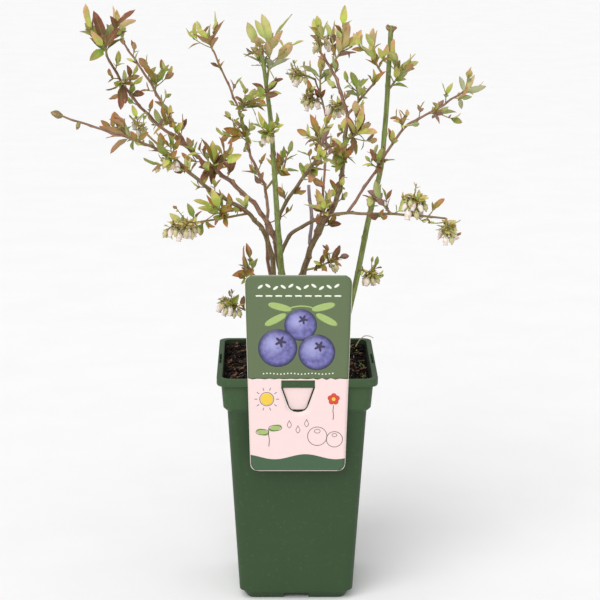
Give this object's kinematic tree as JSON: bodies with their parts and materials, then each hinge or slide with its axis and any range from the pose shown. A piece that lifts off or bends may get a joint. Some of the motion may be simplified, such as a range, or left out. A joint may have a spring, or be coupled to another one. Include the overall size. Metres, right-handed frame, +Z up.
{
  "type": "blueberry bush in a nursery pot",
  "caption": "Young blueberry bush with leaf sprays and bell blossom on spreading stems, in a tall square pot of peat with a hang-in card label.",
  "frame": {"origin": "middle of the pot's underside, on the flat pad under its floor", "axes": "+Z up, -Y towards the side with the label, +X to the right as seen from that side"},
  "size_m": [0.3925, 0.2251, 0.5649],
  "materials": {
    "pot": "dark green moulded plastic, matte with a fine grain",
    "soil": "loose dark peat with bark chips and fibres, rough",
    "label": "printed plastic card: plain sage green above, pale pink below, with simple drawn marks",
    "cane": "smooth green young bark with fine lengthwise streaks",
    "olive_bark": "olive brown bark, finely ridged",
    "brown_bark": "reddish brown bark, finely ridged",
    "dead_wood": "dry grey cut stub",
    "leaves": "young leaves in soft sprays, yellow green to bronze red, satin",
    "blossom": "pale waxy bells with pink and green tints among yellow green bracts"
  },
  "bodies": {
    "root": {"pot": "pot", "soil": "soil", "label": "label", "cane_left": "cane", "cane_right": "cane", "stem_left": "brown_bark", "stem_front_left": "olive_bark", "stem_back_left": "brown_bark", "stem_main": "olive_bark", "bough_top_left": "brown_bark", "bough_low_left": "brown_bark", "bough_centre": "olive_bark", "bough_top_mid": "brown_bark", "bough_top_right": "brown_bark", "bough_right": "olive_bark", "bough_far_right": "brown_bark", "stub_grey": "dead_wood", "stem_back": "brown_bark", "leaves_top_left": "leaves", "leaves_top_left_low": "leaves", "leaves_left_upper": "leaves", "leaves_left_inner": "leaves", "leaves_far_left": "leaves", "blossom_left": "blossom", "leaves_left_fork": "leaves", "leaves_left_middle": "leaves", "leaves_front_left": "leaves", "blossom_front_left": "blossom", "leaves_back_left": "leaves", "leaves_back_left_high": "leaves", "leaves_back_left_tip": "leaves", "leaves_cane_top": "leaves", "leaves_cane_upper": "leaves", "leaves_cane_middle": "leaves", "leaves_behind_cane": "leaves", "leaves_centre_high": "leaves", "leaves_centre_low": "leaves", "leaves_main_high": "leaves", "leaves_main_low": "leaves", "blossom_back_tip": "blossom", "blossom_back_high": "blossom", "leaves_back": "leaves", "blossom_back_low": "blossom", "leaves_top_middle_tip": "leaves", "leaves_top_middle": "leaves", "leaves_top_right_tip": "leaves", "leaves_top_right": "leaves", "leaves_cane_right_top": "leaves", "leaves_far_right_low": "leaves", "leaves_far_right": "leaves", "leaves_far_right_tip": "leaves", "leaves_right_fork": "leaves", "leaves_right": "leaves", "blossom_right": "blossom", "blossom_right_tip": "blossom", "leaves_right_inner": "leaves", "leaves_low_right": "leaves", "blossom_low_right": "blossom", "leaves_low_left": "leaves", "blossom_low_left": "blossom"}
  },
  "joints": []
}
